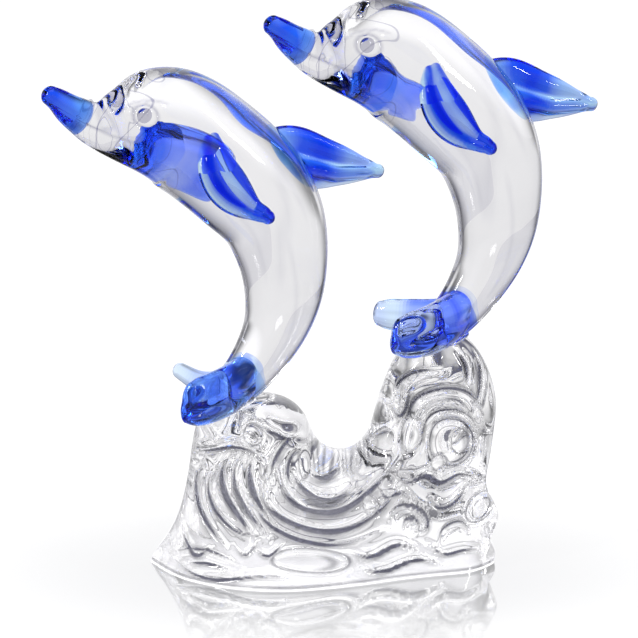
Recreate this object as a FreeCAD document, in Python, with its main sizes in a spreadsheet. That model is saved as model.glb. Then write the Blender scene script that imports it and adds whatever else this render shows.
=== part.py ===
import FreeCAD, Part
import math
import os
from FreeCAD import Vector, Placement, Rotation

# A pair of leaping glass dolphins on a cast glass wave, in millimetres.
# World frame: +Z up, origin on the floor at the middle of the wave, heads towards -X.
# Each dolphin is described once in its own frame: X rearward, Y to its right side, Z up.

os.makedirs("parts", exist_ok=True)
doc = FreeCAD.newDocument("leaping_dolphins")

# ---------------------------------------------------------------- driving sizes
sheet = doc.addObject("Spreadsheet::Sheet", "sizes")
SIZES = [
    ("chest_radius", 15.2, "half depth of the body at the chest"),
    ("side_ratio", 0.93, "body width over body depth"),
    ("dorsal_half_chord", 12.0, "half length of the dorsal fin where it meets the back"),
    ("dorsal_half_thick", 3.7, "half thickness of the dorsal fin at its root"),
    ("pectoral_half_chord", 6.4, "half width of a pectoral fin at its broadest"),
    ("pectoral_half_thick", 2.3, "half thickness of a pectoral fin at its thickest"),
    ("fluke_half_chord", 7.0, "half depth of a fluke lobe"),
    ("fluke_half_thick", 4.5, "half thickness of a fluke lobe at its root"),
    ("eye_radius", 1.9, "radius of the glass eye dot"),
    ("bond_radius", 6.0, "radius of the adhesive disc under each tail"),
    ("bond_thick", 0.4, "thickness of the adhesive disc"),
    ("base_span", 60.0, "width of the block the wave outline is cut from"),
    ("groove_radius", 1.1, "half width of the swirl grooves in the wave"),
    ("boss_radius", 6.0, "radius of the round bubble boss on the wave"),
    ("crest_round", 5.0, "rounding of the crests' front and back edges"),
]
for row, (alias, value, note) in enumerate(SIZES, start=1):
    sheet.set(f"A{row}", note)
    sheet.set(f"B{row}", str(value))
    sheet.setAlias(f"B{row}", alias)
doc.recompute()

YAW = 22.0                 # both dolphins are turned this far from the wave's long axis
SEAT_TILT = 12.0           # the flat seats rise this much towards +X
LEFT_AT = Vector(-21.0, 0, 0)
RIGHT_AT = Vector(33.8, 0, 17.5)
SEAT_POINT = Vector(-5.0, 0, 42.2)      # a point of the seat plane, from each dolphin's origin


def placed(origin, x_axis, y_axis):
    """Placement with its local X and Y along the two given directions."""
    z_axis = x_axis.cross(y_axis)
    return Placement(origin, Rotation(x_axis, y_axis, z_axis, "ZXY"))


def unit(x, y, z):
    return Vector(x, y, z).normalize()


# ---------------------------------------------------------------- lofted glass gathers
def loft_through(name, rings):
    loft = doc.addObject("Part::Loft", f"{name}_gather")
    loft.Sections = rings
    loft.Solid = True
    loft.Ruled = False
    return loft


def round_gather(name, sections):
    """Loft through ellipses: (centre, long direction, short direction, long size, short size)."""
    rings = []
    for index, (centre, long_dir, short_dir, long_size, short_size) in enumerate(sections):
        ring = doc.addObject("Part::Ellipse", f"{name}_ring_{index:02d}")
        ring.Placement = placed(centre, long_dir, short_dir)
        ring.setExpression("MajorRadius", long_size)
        ring.setExpression("MinorRadius", short_size)
        rings.append(ring)
    return loft_through(name, rings)


def flat_gather(name, sections, long_alias, short_alias):
    """Loft through flat leaf-shaped rings, for blades much wider than they are thick.

    Each section is (centre, long direction, short direction, long share, short share).
    """
    rings = []
    steps = 12
    for index, (centre, long_dir, short_dir, long_share, short_share) in enumerate(sections):
        long_size = sheet.get(long_alias) * long_share
        short_size = sheet.get(short_alias) * short_share
        turns = [2 * math.pi * k / steps for k in range(steps)]
        loop = [Vector(long_size * math.cos(a), short_size * math.sin(a), 0) for a in turns]
        curve = Part.BSplineCurve()
        curve.interpolate(Points=loop, PeriodicFlag=True,
                          Parameters=[k / steps for k in range(steps + 1)])
        ring = doc.addObject("Sketcher::SketchObject", f"{name}_ring_{index:02d}")
        ring.addGeometry(curve, False)
        ring.Placement = placed(centre, long_dir, short_dir)
        rings.append(ring)
    return loft_through(name, rings)


def along(points, index):
    """Direction of a run of points at one of them."""
    before = points[max(index - 1, 0)]
    after = points[min(index + 1, len(points) - 1)]
    return (after - before).normalize()


# Spine from beak to tail: (x, z, depth as a share of the chest radius).
SPINE = [
    (-52.6, 127.8, 0.12),
    (-51.4, 127.1, 0.185),
    (-47.4, 124.4, 0.25),
    (-41.9, 120.6, 0.32),
    (-36.3, 118.2, 0.48),
    (-31.6, 117.5, 0.66),
    (-26.8, 117.4, 0.82),
    (-21.5, 117.0, 0.94),
    (-15.5, 114.9, 0.985),
    (-7.5, 108.9, 1.0),
    (0.5, 101.6, 0.98),
    (7.0, 93.4, 0.90),
    (10.8, 83.0, 0.79),
    (11.5, 73.0, 0.69),
    (9.6, 63.5, 0.575),
    (5.0, 55.0, 0.47),
    (-2.6, 46.6, 0.36),
]
spine_points = [Vector(x, 0, z) for x, z, _ in SPINE]
SIDEWAYS = Vector(0, 1, 0)
body_sections = []
for i, (x, z, share) in enumerate(SPINE):
    forward = along(spine_points, i)
    dorsal = forward.cross(SIDEWAYS)
    body_sections.append((
        spine_points[i], dorsal, SIDEWAYS,
        f"sizes.chest_radius * {share}",
        f"sizes.chest_radius * sizes.side_ratio * {share}",
    ))
torso = round_gather("torso", body_sections)

# The blue beak is fused on in front of a plane square to the spine.
SPLIT = 3
split_dir = along(spine_points, SPLIT)
beak_block = doc.addObject("Part::Box", "beak_block")
beak_block.Length = 40
beak_block.Width = 40
beak_block.Height = 40
block_x = split_dir.negative()
beak_block.Placement = placed(
    spine_points[SPLIT] - SIDEWAYS * 20 - block_x.cross(SIDEWAYS) * 20, block_x, SIDEWAYS)

# Dorsal fin: (x, z, chord direction x and z, chord share, thickness share).
DORSAL = [
    (12.0, 104.8, 0.61, -0.79, 1.00, 1.00),
    (18.6, 106.2, 0.48, -0.88, 0.82, 0.86),
    (24.4, 105.0, 0.36, -0.93, 0.63, 0.72),
    (29.8, 103.4, 0.28, -0.96, 0.44, 0.60),
    (34.4, 102.3, 0.18, -0.98, 0.26, 0.50),
    (38.0, 101.4, 0.10, -0.99, 0.14, 0.36),
]
dorsal_sections = [
    (Vector(x, 0, z), unit(cx, 0, cz), SIDEWAYS, chord, thick)
    for x, z, cx, cz, chord, thick in DORSAL
]
dorsal = flat_gather("dorsal", dorsal_sections, "dorsal_half_chord", "dorsal_half_thick")


def blade(name, run, chord_hint, chord_alias, thick_alias):
    """Blade lofted along a bent run of (centre, chord share, thickness share)."""
    centres = [centre for centre, _, _ in run]
    sections = []
    for i, (centre, chord, thick) in enumerate(run):
        grow = along(centres, i)
        flat = grow.cross(chord_hint).normalize()
        across = flat.cross(grow)
        sections.append((centre, across, flat, chord, thick))
    return flat_gather(name, sections, chord_alias, thick_alias)


# Near-side pectoral: a leaf that leaves the flank and ends in a small bead.
PECTORAL = [
    (Vector(-12.2, -11.0, 116.0), 0.27, 0.66),
    (Vector(-12.6, -12.4, 113.0), 0.49, 0.83),
    (Vector(-12.2, -14.0, 109.6), 0.68, 0.87),
    (Vector(-11.0, -15.9, 105.6), 0.84, 0.87),
    (Vector(-8.8, -17.8, 102.0), 0.80, 0.83),
    (Vector(-6.0, -19.6, 99.2), 0.58, 0.83),
    (Vector(-3.8, -21.0, 97.7), 0.38, 0.83),
    (Vector(-1.8, -22.4, 96.6), 0.17, 0.41),
]
pectoral_left = blade("pectoral", PECTORAL, unit(0.8, 0.1, 0.6),
                      "pectoral_half_chord", "pectoral_half_thick")

# Far-side pectoral: a broader leaf laid back along the flank.
FAR_PECTORAL = [
    (Vector(-20.5, 8.6, 113.6), 0.40, 0.78),
    (Vector(-19.0, 11.8, 111.4), 0.67, 0.95),
    (Vector(-15.4, 14.6, 108.6), 0.88, 1.00),
    (Vector(-9.6, 16.8, 104.2), 1.00, 1.00),
    (Vector(-3.0, 18.2, 98.8), 0.91, 0.91),
    (Vector(2.2, 19.0, 93.4), 0.67, 0.83),
    (Vector(5.0, 19.4, 89.8), 0.40, 0.78),
    (Vector(6.4, 19.6, 87.8), 0.22, 0.41),
]
pectoral_right = blade("pectoral_far", FAR_PECTORAL, unit(0.62, 0.1, 0.78),
                       "pectoral_half_chord", "pectoral_half_thick")

# Fluke lobes: pressed pads that grow forward and outward from the tail end.
NEAR_LOBE = [
    (Vector(2.5, 0.5, 51.6), 0.80, 0.90),
    (Vector(-5.0, -5.0, 49.2), 0.93, 1.00),
    (Vector(-12.0, -10.0, 48.6), 1.00, 0.90),
    (Vector(-17.6, -13.2, 48.6), 0.90, 0.72),
    (Vector(-20.2, -14.6, 48.6), 0.62, 0.46),
]
FAR_LOBE = [
    (Vector(2.5, -0.5, 51.6), 0.80, 0.90),
    (Vector(-3.0, 5.2, 49.6), 0.80, 0.86),
    (Vector(-6.6, 9.4, 48.5), 0.62, 0.73),
    (Vector(-9.4, 12.2, 48.2), 0.45, 0.56),
    (Vector(-11.6, 14.2, 48.6), 0.30, 0.42),
]
near_lobe = blade("lobe_left", NEAR_LOBE, unit(0.25, 0, 0.97),
                  "fluke_half_chord", "fluke_half_thick")
far_lobe = blade("lobe_right", FAR_LOBE, unit(0.35, 0, 0.94),
                 "fluke_half_chord", "fluke_half_thick")

# Eye dots: small glass beads pressed into the sides of the head.
eyes = {}
for side, sign in (("left", -1), ("right", 1)):
    eye = doc.addObject("Part::Sphere", f"eye_{side}_bead")
    eye.setExpression("Radius", "sizes.eye_radius")
    eye.Placement = Placement(Vector(-29.0, sign * 9.8, 121.2), Rotation())
    eyes[side] = eye


# ---------------------------------------------------------------- helpers for booleans
def cut(name, base, tools):
    """Take each tool from the base in turn; the last step carries the name."""
    for index, tool in enumerate(tools):
        last = index == len(tools) - 1
        step = doc.addObject("Part::Cut", name if last else f"{name}_step_{index}")
        step.Base = base
        step.Tool = tool
        base = step
    return base


def common(name, base, tool):
    step = doc.addObject("Part::Common", name)
    step.Base = base
    step.Tool = tool
    return step


def slab_below(name, point, tilt, size, depth):
    """Block whose top face passes through the point and rises by the tilt towards +X."""
    block = doc.addObject("Part::Box", name)
    block.Length = size
    block.Width = size
    block.Height = depth
    turn = Rotation(Vector(0, 1, 0), -tilt)
    corner = turn.multVec(Vector(-size / 2, -size / 2, -depth))
    block.Placement = Placement(point + corner, turn)
    return block


# ---------------------------------------------------------------- the two dolphins
finished = []


def finish(feature, label, placement=None):
    feature.Label = label
    if placement is not None:
        feature.Placement = placement
    finished.append(feature)


turn_by_yaw = Rotation(Vector(0, 0, 1), YAW)
seat_block = slab_below("seat_block", Vector(0, 0, 0), SEAT_TILT, 80, 30)
seat_world = seat_block.Placement
seat_block.Placement = Placement(SEAT_POINT, turn_by_yaw.inverted()).multiply(seat_world)

eye_pair = [eyes["left"], eyes["right"]]
for side, at in (("left", LEFT_AT), ("right", RIGHT_AT)):
    pose = Placement(at, turn_by_yaw)
    finish(cut(f"{side}_body_cut", torso, [beak_block, seat_block] + eye_pair), f"{side}_body", pose)
    finish(common(f"{side}_beak_common", torso, beak_block), f"{side}_beak_tip", pose)
    finish(cut(f"{side}_dorsal_cut", dorsal, [torso]), f"{side}_dorsal_fin", pose)
    finish(cut(f"{side}_pectoral_l_cut", pectoral_left, [torso]), f"{side}_pectoral_near", pose)
    finish(cut(f"{side}_pectoral_r_cut", pectoral_right, [torso]), f"{side}_pectoral_far", pose)
    finish(cut(f"{side}_lobe_l_cut", near_lobe, [torso, seat_block]), f"{side}_fluke_near", pose)
    finish(cut(f"{side}_lobe_r_cut", far_lobe, [torso, near_lobe, seat_block]), f"{side}_fluke_far", pose)
    for eye_side, eye_name in (("left", "near"), ("right", "far")):
        bead = doc.addObject("Part::Sphere", f"{side}_eye_{eye_name}_bead")
        bead.setExpression("Radius", "sizes.eye_radius")
        finish(bead, f"{side}_eye_{eye_name}", pose.multiply(eyes[eye_side].Placement))
    disc = doc.addObject("Part::Cylinder", f"{side}_bond_disc")
    disc.setExpression("Radius", "sizes.bond_radius")
    disc.setExpression("Height", "sizes.bond_thick")
    tilt = Rotation(Vector(0, 1, 0), -SEAT_TILT)
    foot = at + turn_by_yaw.multVec(SEAT_POINT)
    finish(disc, f"{side}_bond_film", Placement(foot - tilt.multVec(Vector(0, 0, 0.4)), tilt))

# ---------------------------------------------------------------- the wave
# Outline seen from the front: left crest, saddle, taller right crest.
WAVE_TOP = [
    (-45.4, 0.0), (-42.0, 5.2), (-38.4, 12.0), (-36.0, 19.5), (-34.6, 28.0), (-33.6, 35.0),
    (-31.4, 40.6), (-25.0, 43.2), (-18.0, 45.0), (-12.0, 43.9), (-7.5, 41.6), (-4.2, 37.6),
    (-1.4, 31.8), (4.5, 29.0), (9.8, 32.4), (13.0, 40.5), (15.8, 49.5), (20.0, 57.2),
    (27.0, 61.6), (33.8, 62.0), (38.6, 58.2), (42.6, 51.2), (44.4, 42.5), (43.4, 31.0),
    (42.6, 21.0), (44.9, 12.0), (44.2, 0.0),
]
wave_body = doc.addObject("PartDesign::Body", "wave_outline")
front_plane = next(f for f in wave_body.Origin.OriginFeatures if f.Role == "XZ_Plane")
outline = wave_body.newObject("Sketcher::SketchObject", "wave_outline_sketch")
outline.AttachmentSupport = (front_plane, [""])
outline.MapMode = "FlatFace"
crest_curve = Part.BSplineCurve()
crest_curve.interpolate([Vector(x, z, 0) for x, z in WAVE_TOP])
outline.addGeometry(crest_curve, False)
outline.addGeometry(Part.LineSegment(Vector(*WAVE_TOP[-1], 0), Vector(*WAVE_TOP[0], 0)), False)
wave_pad = wave_body.newObject("PartDesign::Pad", "wave_pad")
wave_pad.Profile = outline
wave_pad.SideType = "Symmetric"
wave_pad.setExpression("Length", "sizes.base_span")

# Footprint and the narrower level near the crests, as closed smooth curves.
FOOTPRINT = [
    (-46.0, -2.0), (-40.0, -12.5), (-30.0, -19.5), (-15.0, -24.3), (2.0, -22.0), (20.0, -15.0),
    (34.0, -11.5), (46.0, -4.5), (46.0, 9.0), (34.0, 17.0), (10.0, 21.0), (-15.0, 23.0),
    (-34.0, 17.0), (-45.0, 7.0),
]
CREST_LEVEL = [
    (-42.0, -2.0), (-36.0, -9.5), (-26.0, -12.5), (-12.0, -12.5), (4.0, -11.0), (20.0, -9.5),
    (34.0, -8.5), (45.5, -4.0), (45.5, 6.0), (34.0, 10.5), (10.0, 12.0), (-15.0, 12.5),
    (-32.0, 10.5), (-41.0, 5.0),
]
CREST_HEIGHT = 66.0


def level_curve(name, points, height):
    """Closed smooth horizontal outline."""
    curve = Part.BSplineCurve()
    curve.interpolate([Vector(x, y, 0) for x, y in points], PeriodicFlag=True)
    sketch = doc.addObject("Sketcher::SketchObject", name)
    sketch.addGeometry(curve, False)
    sketch.Placement = Placement(Vector(0, 0, height), Rotation())
    return sketch


wave_mass = doc.addObject("Part::Loft", "wave_mass")
wave_mass.Sections = [
    level_curve("footprint", FOOTPRINT, 0),
    level_curve("crest_level", CREST_LEVEL, CREST_HEIGHT),
]
wave_mass.Solid = True
wave_mass.Ruled = True
wave_block = common("wave_block", wave_body, wave_mass)

# The long top edges, front and back, are fire-polished round.
doc.recompute()
crest_edges = [
    number for number, edge in enumerate(wave_block.Shape.Edges, start=1)
    if edge.BoundBox.ZMax > sheet.get("crest_round")
]
wave_soft = doc.addObject("Part::Fillet", "wave_soft")
wave_soft.Base = wave_block
wave_soft.Edges = [(number, sheet.get("crest_round"), sheet.get("crest_round")) for number in crest_edges]

# Raised bubbles on the front of the wave.
BOSSES = [
    (Vector(33.0, -9.2, 35.0), 1.0, 0.62),
    (Vector(21.5, -10.6, 39.0), 0.72, 0.42),
    (Vector(39.5, -8.0, 17.0), 0.60, 0.46),
    (Vector(26.5, -12.0, 16.0), 0.80, 0.50),
]
wave = wave_soft
for index, (centre, size, height) in enumerate(BOSSES):
    boss = doc.addObject("Part::Ellipsoid", f"boss_{index}")
    boss.setExpression("Radius2", f"sizes.boss_radius * {size}")
    boss.setExpression("Radius3", f"sizes.boss_radius * {size}")
    boss.setExpression("Radius1", f"sizes.boss_radius * {height}")
    boss.Angle1 = -90
    boss.Placement = Placement(centre, Rotation(Vector(1, 0, 0), 80))
    joined = doc.addObject("Part::Fuse", f"wave_with_boss_{index}")
    joined.Base = wave
    joined.Tool = boss
    wave = joined

# Swirl grooves: rings let into the sloping front, the middle ones nested as a curl.
FRONT_LEAN = 80
BACK_LEAN = -80
SWIRLS = [
    (Vector(-5.5, -18.4, 30.0), 4.2, 0.9, FRONT_LEAN),
    (Vector(-4.5, -18.8, 28.5), 8.6, 1.1, FRONT_LEAN),
    (Vector(-1.5, -19.4, 25.5), 14.0, 1.3, FRONT_LEAN),
    (Vector(-20.0, -17.4, 36.5), 3.4, 0.8, FRONT_LEAN),
    (Vector(-56.0, -19.0, 20.0), 24.5, 1.2, FRONT_LEAN),
    (Vector(-58.0, -19.0, 16.0), 33.0, 1.1, FRONT_LEAN),
    (Vector(33.0, -12.6, 36.0), 9.6, 1.0, FRONT_LEAN),
    (Vector(33.0, -12.8, 36.0), 13.4, 0.9, FRONT_LEAN),
    (Vector(14.0, -18.5, 14.0), 7.0, 1.0, FRONT_LEAN),
    (Vector(-10.0, 18.6, 26.0), 6.0, 1.0, BACK_LEAN),
    (Vector(-8.0, 19.2, 23.0), 12.0, 1.2, BACK_LEAN),
    (Vector(28.0, 14.6, 34.0), 8.0, 1.0, BACK_LEAN),
]
rings = []
for index, (centre, ring_size, groove, lean) in enumerate(SWIRLS):
    ring = doc.addObject("Part::Torus", f"swirl_{index}")
    ring.Radius1 = ring_size
    ring.setExpression("Radius2", f"sizes.groove_radius * {groove}")
    ring.Placement = Placement(centre, Rotation(Vector(1, 0, 0), lean))
    rings.append(ring)

# Flat seats for the tails, one adhesive thickness below the underside of the flukes.
seats = []
for side, at in (("left", LEFT_AT), ("right", RIGHT_AT)):
    foot = at + turn_by_yaw.multVec(SEAT_POINT)
    tilt = Rotation(Vector(0, 1, 0), -SEAT_TILT)
    seat = doc.addObject("Part::Box", f"{side}_seat")
    seat.Length = 34
    seat.Width = 60
    seat.Height = 12
    seat.Placement = Placement(foot + tilt.multVec(Vector(-21, -30, -0.4)), tilt)
    seats.append(seat)
wave = cut("wave_base_cut", wave, rings + seats)
finish(wave, "wave_base")

# ---------------------------------------------------------------- checks and files
doc.recompute()
for item in doc.Objects:
    bad = [flag for flag in item.State if flag in ("Invalid", "Error")]
    if bad:
        raise RuntimeError(f"{item.Name}: {item.State}")
for feature in finished:
    shape = feature.Shape
    if shape.isNull() or not shape.isValid():
        raise RuntimeError(f"{feature.Label}: no valid shape")
    print(f"{feature.Label:22s} solids {len(shape.Solids)} volume {shape.Volume:9.1f}")
    shape.exportStep(f"parts/{feature.Label}.step")
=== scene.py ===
import math

import bpy
import numpy as np
from mathutils import Matrix, Vector
from mathutils.bvhtree import BVHTree


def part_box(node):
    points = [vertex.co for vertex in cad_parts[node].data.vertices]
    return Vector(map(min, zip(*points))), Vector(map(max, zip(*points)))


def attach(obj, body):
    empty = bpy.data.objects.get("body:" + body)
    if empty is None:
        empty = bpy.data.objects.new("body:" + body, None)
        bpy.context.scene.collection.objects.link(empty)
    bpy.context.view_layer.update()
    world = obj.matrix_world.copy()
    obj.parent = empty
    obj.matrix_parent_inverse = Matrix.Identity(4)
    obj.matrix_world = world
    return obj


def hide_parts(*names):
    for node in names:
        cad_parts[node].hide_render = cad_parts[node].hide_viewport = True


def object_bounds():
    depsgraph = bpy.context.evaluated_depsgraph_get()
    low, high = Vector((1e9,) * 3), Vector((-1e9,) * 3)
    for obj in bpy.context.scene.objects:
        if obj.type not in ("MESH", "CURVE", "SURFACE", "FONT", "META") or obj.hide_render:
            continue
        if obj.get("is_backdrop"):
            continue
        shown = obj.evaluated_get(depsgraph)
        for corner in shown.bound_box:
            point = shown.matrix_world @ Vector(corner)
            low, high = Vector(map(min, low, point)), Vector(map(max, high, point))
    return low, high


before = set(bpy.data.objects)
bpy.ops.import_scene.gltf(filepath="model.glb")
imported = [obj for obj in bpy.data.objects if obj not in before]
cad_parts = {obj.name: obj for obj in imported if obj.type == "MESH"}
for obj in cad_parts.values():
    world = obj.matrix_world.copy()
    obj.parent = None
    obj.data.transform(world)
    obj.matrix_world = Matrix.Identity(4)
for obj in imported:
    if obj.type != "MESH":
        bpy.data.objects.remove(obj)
size_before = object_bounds()

# Two leaping dolphins of clear and blue glass on a cast glass wave. Shapes are worked out in
# millimetres. A dolphin's own frame has X rearward, Y to its right and Z up, as in the CAD.
MM = 0.001
YAW = math.radians(22.0)
SEAT_SLOPE = math.tan(math.radians(12.0))
TURN = Matrix.Rotation(YAW, 4, "Z")
# the centre of a beak's CAD box, seen from its dolphin's origin
BEAK_BOX_FROM_ORIGIN = Vector((-42.95, -16.585, 122.935))
OUTSIDE = -5.0             # seam depth of a point that no fused neighbour is near
SHARP_FROM = math.radians(50)


def box_centre(node):
    low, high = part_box(node)
    return (low + high) / (2 * MM)


def smoothstep(low, high, value):
    t = np.clip((value - low) / (high - low), 0.0, 1.0)
    return t * t * (3 - 2 * t)


def peak(value, middle, width):
    """1 at the middle, falling off smoothly over the width."""
    return np.exp(-((value - middle) / width) ** 2)


def cubic(knots, values, at):
    """Natural cubic spline through rows of values, read at new places."""
    knots = np.asarray(knots, float)
    values = np.asarray(values, float)
    if values.ndim == 1:
        values = values[:, None]
    n = len(knots)
    step = np.diff(knots)
    system = np.eye(n)
    right = np.zeros_like(values)
    for i in range(1, n - 1):
        system[i, i - 1] = step[i - 1]
        system[i, i] = 2 * (step[i - 1] + step[i])
        system[i, i + 1] = step[i]
        right[i] = 6 * ((values[i + 1] - values[i]) / step[i]
                        - (values[i] - values[i - 1]) / step[i - 1])
    bend = np.linalg.solve(system, right)
    at = np.asarray(at, float)
    k = np.clip(np.searchsorted(knots, at, side="right") - 1, 0, n - 2)
    w = step[k][:, None]
    a = (knots[k + 1] - at)[:, None]
    b = (at - knots[k])[:, None]
    out = bend[k] * a ** 3 / (6 * w) + bend[k + 1] * b ** 3 / (6 * w)
    out += (values[k] / w - bend[k] * w / 6) * a
    out += (values[k + 1] / w - bend[k + 1] * w / 6) * b
    return out


def lengths(points):
    points = np.asarray(points, float)
    return np.concatenate([[0], np.cumsum(np.linalg.norm(np.diff(points, axis=0), axis=1))])


def normalised(vectors):
    return vectors / np.linalg.norm(vectors, axis=-1, keepdims=True)


def wobble(points, scale, seed):
    """Smooth, repeatable unevenness between about -1 and 1 at each point."""
    dice = np.random.default_rng(seed)
    total = np.zeros(len(points))
    for _ in range(7):
        direction = normalised(dice.normal(size=3)) * scale * dice.uniform(3.0, 9.0)
        total += np.sin(points @ direction + dice.uniform(0, 2 * math.pi))
    return total / 3.2


# ---------------- meshes
class Shape:
    """Points and faces of one closed glass piece, with the faces that are a flush seam."""

    def __init__(self, points, faces, seam_faces=()):
        self.points = np.asarray(points, float)
        self.faces = faces
        self.seam_faces = set(seam_faces)
        count = len(self.points)
        self.depth = np.full(count, OUTSIDE)     # how deep each point is inside a fused neighbour
        self.deep = np.full(count, 0.5)          # how much of the stain colour it takes: blue in the blue pieces, painted shade in the clear body and the wave
        self.calm = np.zeros(count)              # how much less its glass bends the view
        self.level = np.full(count, 0.5)         # the painted hair lines of shade are contours of this

    def tree(self):
        return BVHTree.FromPolygons([tuple(p) for p in self.points], self.faces)

    def place(self, matrix):
        rotation = np.array(matrix.to_3x3())
        self.points = self.points @ rotation.T + np.array(matrix.translation)
        return self

    def facets(self):
        """Corner numbers, first corners and area vectors of the faces, one face size at a time."""
        by_size = {}
        for face in self.faces:
            by_size.setdefault(len(face), []).append(face)
        for size, group in by_size.items():
            group = np.array(group)
            corners = self.points[group]
            edges = corners[:, 1:] - corners[:, :1]
            area = np.cross(edges[:, 0], edges[:, 1])
            if size > 3:
                area = area + np.cross(edges[:, 1], edges[:, 2])
            yield group, corners[:, 0], area

    def normals(self):
        total = np.zeros_like(self.points)
        for group, _, area in self.facets():
            for corner in group.T:
                np.add.at(total, corner, area)
        return total / np.maximum(np.linalg.norm(total, axis=1, keepdims=True), 1e-12)

    def turned_out(self):
        """The same shape with faces that wind outwards."""
        centre = self.points.mean(0)
        volume = sum(np.einsum("ij,ij->", first - centre, area) for _, first, area in self.facets())
        if volume < 0:
            self.faces = [tuple(reversed(face)) for face in self.faces]
        return self


def ring_faces(rings, around):
    faces = []
    for a in range(0, (rings - 1) * around, around):
        b = a + around
        for j in range(around):
            k = (j + 1) % around
            faces.append((a + j, a + k, b + k, b + j))
    return faces


def fans(rings, around):
    """Triangles that close both ends of a run of rings, to the two points after the last ring."""
    first, base = rings * around, (rings - 1) * around
    pairs = [(j, (j + 1) % around) for j in range(around)]
    return [(first, k, j) for j, k in pairs] + [(first + 1, base + j, base + k) for j, k in pairs]


def tube(centres, up, side, section, first_cap, last_cap, around=96, cap_rings=14, seams=()):
    """Closed tube. section(i, angles) gives (along up, along side) offsets of ring i.

    A cap is how far its dome stands beyond the end ring, negative for a dish.
    """
    count = len(centres)
    angles = np.linspace(0, 2 * math.pi, around, endpoint=False)
    rings = []

    def ring(index, scale, push):
        u, s = section(index, angles)
        forward = normalised(np.cross(side[index], up[index]))
        return (centres[index] + forward * push
                + np.outer(u * scale, up[index]) + np.outer(s * scale, side[index]))

    theta = np.linspace(0, math.pi / 2, cap_rings + 1)[1:-1]
    for angle in theta[::-1]:
        rings.append(ring(0, math.cos(angle), -first_cap * math.sin(angle)))
    front_caps = len(rings)
    for i in range(count):
        rings.append(ring(i, 1.0, 0.0))
    for angle in theta:
        rings.append(ring(count - 1, math.cos(angle), last_cap * math.sin(angle)))
    total = len(rings)
    faces = ring_faces(total, around)
    poles = [centres[index] + normalised(np.cross(side[index], up[index])) * push
             for index, push in ((0, -first_cap), (count - 1, last_cap))]
    seam_faces = []
    if "first" in seams:
        seam_faces += list(range(front_caps * around))
        seam_faces += list(range(len(faces), len(faces) + around))
    if "last" in seams:
        seam_faces += list(range((front_caps + count - 1) * around, len(faces)))
        seam_faces += list(range(len(faces) + around, len(faces) + 2 * around))
    shape = Shape(np.vstack(rings + poles), faces + fans(total, around), seam_faces)
    # which way round the ring, and in which ring, each point is
    shape.turn = np.append(np.tile(angles, total), [0, 0])
    shape.row = np.append(np.repeat(np.arange(total), around), [0, total - 1])
    return shape.turned_out()


def oval(radius_up, radius_down, radius_side, lines=0.0):
    """Ring section with its own size above and below."""
    def section(index, angles):
        c, s = np.cos(angles), np.sin(angles)
        reach = np.where(c >= 0, radius_up[index], radius_down[index])
        # faint lines left along the glass as it was drawn out
        drawn = 1 + lines * (0.6 * np.sin(6 * angles + 0.9 * math.sin(index / 37))
                             + 0.4 * np.sin(13 * angles + 1.7 + index / 55))
        return c * reach * drawn, s * radius_side[index] * drawn
    return section


# ---------------- one dolphin
# Spine: x, z, radius towards the back, radius towards the belly.
SPINE = np.array([
    (-50.2, 126.4, 2.5, 2.4), (-48.4, 125.2, 3, 2.9),
    (-46, 123.3, 3.6, 3.8), (-42.7, 121.1, 4.4, 4.8),
    (-39.1, 119.2, 5.9, 6), (-35.3, 118, 8.5, 7.5),
    (-31.3, 117.5, 11.2, 9.7), (-27.3, 117.4, 13.3, 12.1),
    (-23.3, 117.2, 14.5, 14), (-19.4, 116.5, 15.1, 14.9),
    (-15.7, 115, 15.2, 15.3), (-9.2, 110.4, 15.2, 15.3),
    (-3.2, 105.1, 15.3, 15.1), (2.5, 99.4, 14.8, 14.7),
    (7.2, 93, 13.9, 13.6), (10.2, 85.5, 12.6, 12.6),
    (11.5, 77.6, 11.2, 11.4), (11.1, 69.6, 10.1, 10),
    (9, 61.9, 8.5, 8.5), (5, 55, 7.1, 7.2),
    (0.4, 49.6, 6.2, 6.2), (-3.6, 46.2, 5.6, 5.6),
])
SPINE_AT = lengths(SPINE[:, :2])
BLUE_END = 9.9            # along the spine, where the blue beak meets the clear head
SEAM_GAP = 0.02
EYE_X, EYE_Y, EYE_Z = -29.0, 9.6, 121.6
EYE_RADIUS, EYE_HEIGHT = 1.9, 1.35


def spine_rows(start, end, count):
    at = np.linspace(start, end, count)
    rows = cubic(SPINE_AT, SPINE, at)
    ahead = cubic(SPINE_AT, SPINE[:, :2], at + 0.05) - cubic(SPINE_AT, SPINE[:, :2], at - 0.05)
    forward = normalised(np.stack([ahead[:, 0], np.zeros(count), ahead[:, 1]], 1))
    centres = np.stack([rows[:, 0], np.zeros(count), rows[:, 1]], 1)
    side = np.tile([0.0, 1.0, 0.0], (count, 1))
    up = np.cross(forward, side)
    return at, centres, up, side, rows[:, 2], rows[:, 3]


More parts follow.
